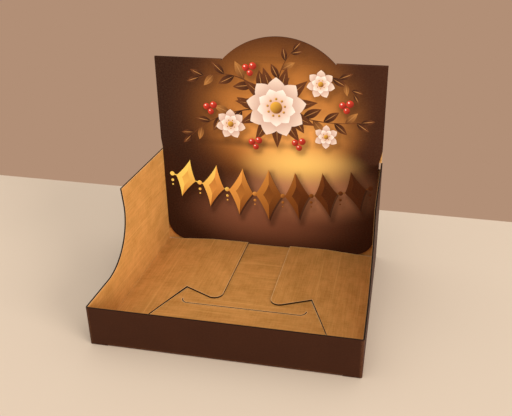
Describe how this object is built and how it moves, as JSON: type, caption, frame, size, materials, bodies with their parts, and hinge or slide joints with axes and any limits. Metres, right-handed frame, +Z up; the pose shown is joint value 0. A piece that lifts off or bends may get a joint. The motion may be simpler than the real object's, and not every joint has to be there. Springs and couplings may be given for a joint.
{
  "type": "cardboard counter display stand",
  "caption": "Open-fronted counter display tray of folded board with a low front, swept side walls, a tall arched header and a snap-lock bottom.",
  "frame": {"origin": "middle of the footprint, on the surface that the stand rests on", "axes": "+X to the right across the front, +Y from the front to the back, +Z up"},
  "size_m": [0.28, 0.235, 0.2772],
  "materials": {
    "board": "E-flute board, printed dark brown outside, bare kraft inside"
  },
  "bodies": {
    "root": {"display_stand": "board"}
  },
  "joints": []
}
